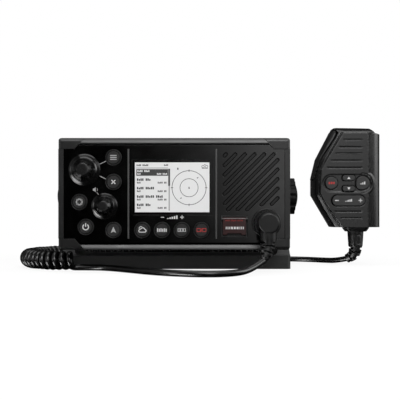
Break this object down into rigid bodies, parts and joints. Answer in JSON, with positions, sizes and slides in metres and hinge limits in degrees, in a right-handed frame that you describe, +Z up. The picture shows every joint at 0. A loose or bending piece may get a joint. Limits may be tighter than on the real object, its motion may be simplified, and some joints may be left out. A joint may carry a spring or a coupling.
{
  "type": "fixed mount marine radio",
  "caption": "Fixed-mount marine VHF radio with display, keys and knobs on a tilting bracket, and a fist microphone on a curly cord.",
  "frame": {"origin": "centre of the bracket's screw pattern, on the underside of its base", "axes": "+X to the radio's right as seen from the front, +Y to the back, +Z up from the surface the bracket stands on"},
  "size_m": [0.3219, 0.1958, 0.1242],
  "materials": {
    "housing_plastic": "fine matt texture",
    "rail_satin": "satin",
    "fascia_gloss": "high gloss",
    "window_glass": "clear",
    "display_stack": "transflective display",
    "key_rubber": "satin",
    "red_key_rubber": "satin",
    "knob_plastic": "satin",
    "shaft_steel": "machined",
    "encoder_metal": "plated",
    "board_laminate": "solder mask",
    "mat_silicone": "matt",
    "speaker_metal": "plain",
    "cone_paper": "matt",
    "screen_cloth": "woven",
    "cover_red": "gloss",
    "plug_plastic": "satin",
    "boot_rubber": "matt",
    "cord_jacket": "satin",
    "chassis_paint": "powder coat",
    "connector_metal": "nickel plate",
    "gland_plastic": "matt",
    "bracket_plastic": "fine texture",
    "washer_rubber": "matt",
    "clamp_plastic": "satin",
    "mic_plastic": "fine texture",
    "ptt_rubber": "satin",
    "mic_key_rubber": "satin",
    "mic_red_key_rubber": "satin"
  },
  "bodies": {
    "bracket": {"gimbal_bracket": "bracket_plastic", "cord_front_tail": "cord_jacket", "cord_coil": "cord_jacket", "cord_rear_tail": "cord_jacket", "mic_front_shell": "mic_plastic", "mic_rear_shell": "mic_plastic", "mic_board": "board_laminate", "mic_boot": "boot_rubber", "mic_screws": "shaft_steel"},
    "radio": {"tilt_washers": "washer_rubber", "front_housing": "housing_plastic", "top_rail": "rail_satin", "bottom_rail": "rail_satin", "corner_caps": "housing_plastic", "fascia_panel": "fascia_gloss", "speaker_screen": "screen_cloth", "divider_strips": "housing_plastic", "lcd_window": "window_glass", "lcd_module": "display_stack", "keypad_mat": "mat_silicone", "channel_encoder": "encoder_metal", "volume_encoder": "encoder_metal", "distress_frame": "housing_plastic", "mic_socket": "plug_plastic", "plug_body": "plug_plastic", "plug_boot": "boot_rubber", "speaker_frame": "speaker_metal", "speaker_cone": "cone_paper", "circuit_boards": "board_laminate", "front_gasket": "mat_silicone", "rear_chassis": "chassis_paint", "rear_sockets": "connector_metal", "power_gland": "gland_plastic", "case_screws": "shaft_steel"},
    "left_clamp": {"left_clamp_knob": "clamp_plastic", "left_clamp_stud": "shaft_steel"},
    "right_clamp": {"right_clamp_knob": "clamp_plastic", "right_clamp_stud": "shaft_steel"},
    "channel_plunger": {"channel_shaft": "shaft_steel"},
    "channel_dial": {"channel_knob": "knob_plastic"},
    "volume_plunger": {"volume_shaft": "shaft_steel"},
    "volume_dial": {"volume_knob": "knob_plastic"},
    "distress_cover_body": {"distress_cover": "cover_red"},
    "distress_key_body": {"distress_key": "cover_red"},
    "plug_ring": {"coupling_ring": "plug_plastic"},
    "ptt_body": {"ptt_lever": "ptt_rubber"},
    "mic_rocker_body": {"mic_volume_rocker": "mic_key_rubber"},
    "key_menu_body": {"key_menu": "key_rubber"},
    "key_cancel_body": {"key_cancel": "key_rubber"},
    "key_overboard_body": {"key_overboard": "key_rubber"},
    "key_power_body": {"key_power": "key_rubber"},
    "key_nav_body": {"key_nav": "key_rubber"},
    "key_dim_body": {"key_dim": "key_rubber"},
    "key_scan_body": {"key_scan": "key_rubber"},
    "key_watch_body": {"key_watch": "key_rubber"},
    "key_priority_body": {"key_priority": "red_key_rubber"},
    "mic_priority_key_body": {"mic_priority_key": "mic_red_key_rubber"},
    "mic_power_key_body": {"mic_power_key": "mic_key_rubber"},
    "mic_up_key_body": {"mic_up_key": "mic_key_rubber"},
    "mic_down_key_body": {"mic_down_key": "mic_key_rubber"}
  },
  "joints": [
    {"name": "tilt", "type": "hinge", "parent": "bracket", "child": "radio", "pos_m": [0, 0.02, 0.0623], "axis": [-1, 0, 0], "range_deg": [0, 20], "deforming": ["cord_front_tail"]},
    {"name": "left_clamp_turn", "type": "hinge", "parent": "radio", "child": "left_clamp", "pos_m": [-0.1, 0.02, 0.0623], "axis": [-1, 0, 0], "continuous": true},
    {"name": "right_clamp_turn", "type": "hinge", "parent": "radio", "child": "right_clamp", "pos_m": [0.1, 0.02, 0.0623], "axis": [1, 0, 0], "continuous": true},
    {"name": "channel_press", "type": "slide", "parent": "radio", "child": "channel_plunger", "axis": [0, 1, 0], "range_m": [0, 0.0006], "stiffness_N_per_m": 900, "springref_m": -0.0015},
    {"name": "channel_turn", "type": "hinge", "parent": "channel_plunger", "child": "channel_dial", "pos_m": [-0.0703, -0.07, 0.0807], "axis": [0, 1, 0], "continuous": true},
    {"name": "volume_press", "type": "slide", "parent": "radio", "child": "volume_plunger", "axis": [0, 1, 0], "range_m": [0, 0.0006], "stiffness_N_per_m": 900, "springref_m": -0.0015},
    {"name": "volume_turn", "type": "hinge", "parent": "volume_plunger", "child": "volume_dial", "pos_m": [-0.0546, -0.07, 0.0521], "axis": [0, 1, 0], "continuous": true},
    {"name": "distress_cover_lift", "type": "hinge", "parent": "radio", "child": "distress_cover_body", "pos_m": [0.04715, -0.0684, 0.0421], "axis": [-1, 0, 0], "range_deg": [0, 110], "stiffness_Nm_per_rad": 0.0008, "springref_deg": -17.19},
    {"name": "distress_press", "type": "slide", "parent": "radio", "child": "distress_key_body", "axis": [0, 1, 0], "range_m": [0, 0.0012], "stiffness_N_per_m": 800, "springref_m": -0.001},
    {"name": "plug_ring_turn", "type": "hinge", "parent": "radio", "child": "plug_ring", "pos_m": [0.0723, -0.0735, 0.039], "axis": [0, 1, 0], "continuous": true},
    {"name": "ptt_press", "type": "hinge", "parent": "bracket", "child": "ptt_body", "pos_m": [0.15, 0.027, 0.115], "axis": [0, -1, 0], "range_deg": [0, 4], "stiffness_Nm_per_rad": 1.4, "springref_deg": -2.86},
    {"name": "mic_rocker_tip", "type": "hinge", "parent": "bracket", "child": "mic_rocker_body", "pos_m": [0.1523, 0.0145, 0.0582], "axis": [0, 0, 1], "range_deg": [-4, 4], "stiffness_Nm_per_rad": 0.3},
    {"name": "key_menu_press", "type": "slide", "parent": "radio", "child": "key_menu_body", "axis": [0, 1, 0], "range_m": [0, 0.0008], "stiffness_N_per_m": 800, "springref_m": -0.0008},
    {"name": "key_cancel_press", "type": "slide", "parent": "radio", "child": "key_cancel_body", "axis": [0, 1, 0], "range_m": [0, 0.0008], "stiffness_N_per_m": 800, "springref_m": -0.0008},
    {"name": "key_overboard_press", "type": "slide", "parent": "radio", "child": "key_overboard_body", "axis": [0, 1, 0], "range_m": [0, 0.0008], "stiffness_N_per_m": 800, "springref_m": -0.0008},
    {"name": "key_power_press", "type": "slide", "parent": "radio", "child": "key_power_body", "axis": [0, 1, 0], "range_m": [0, 0.0008], "stiffness_N_per_m": 800, "springref_m": -0.0008},
    {"name": "key_nav_press", "type": "slide", "parent": "radio", "child": "key_nav_body", "axis": [0, 1, 0], "range_m": [0, 0.0008], "stiffness_N_per_m": 800, "springref_m": -0.0008},
    {"name": "key_dim_press", "type": "slide", "parent": "radio", "child": "key_dim_body", "axis": [0, 1, 0], "range_m": [0, 0.0008], "stiffness_N_per_m": 800, "springref_m": -0.0008},
    {"name": "key_scan_press", "type": "slide", "parent": "radio", "child": "key_scan_body", "axis": [0, 1, 0], "range_m": [0, 0.0008], "stiffness_N_per_m": 800, "springref_m": -0.0008},
    {"name": "key_watch_press", "type": "slide", "parent": "radio", "child": "key_watch_body", "axis": [0, 1, 0], "range_m": [0, 0.0008], "stiffness_N_per_m": 800, "springref_m": -0.0008},
    {"name": "key_priority_press", "type": "slide", "parent": "radio", "child": "key_priority_body", "axis": [0, 1, 0], "range_m": [0, 0.0008], "stiffness_N_per_m": 800, "springref_m": -0.0008},
    {"name": "mic_priority_key_press", "type": "slide", "parent": "bracket", "child": "mic_priority_key_body", "axis": [0, 1, 0], "range_m": [0, 0.0007], "stiffness_N_per_m": 800, "springref_m": -0.0008},
    {"name": "mic_power_key_press", "type": "slide", "parent": "bracket", "child": "mic_power_key_body", "axis": [0, 1, 0], "range_m": [0, 0.0007], "stiffness_N_per_m": 800, "springref_m": -0.0008},
    {"name": "mic_up_key_press", "type": "slide", "parent": "bracket", "child": "mic_up_key_body", "axis": [0, 1, 0], "range_m": [0, 0.0007], "stiffness_N_per_m": 800, "springref_m": -0.0008},
    {"name": "mic_down_key_press", "type": "slide", "parent": "bracket", "child": "mic_down_key_body", "axis": [0, 1, 0], "range_m": [0, 0.0007], "stiffness_N_per_m": 800, "springref_m": -0.0008}
  ]
}
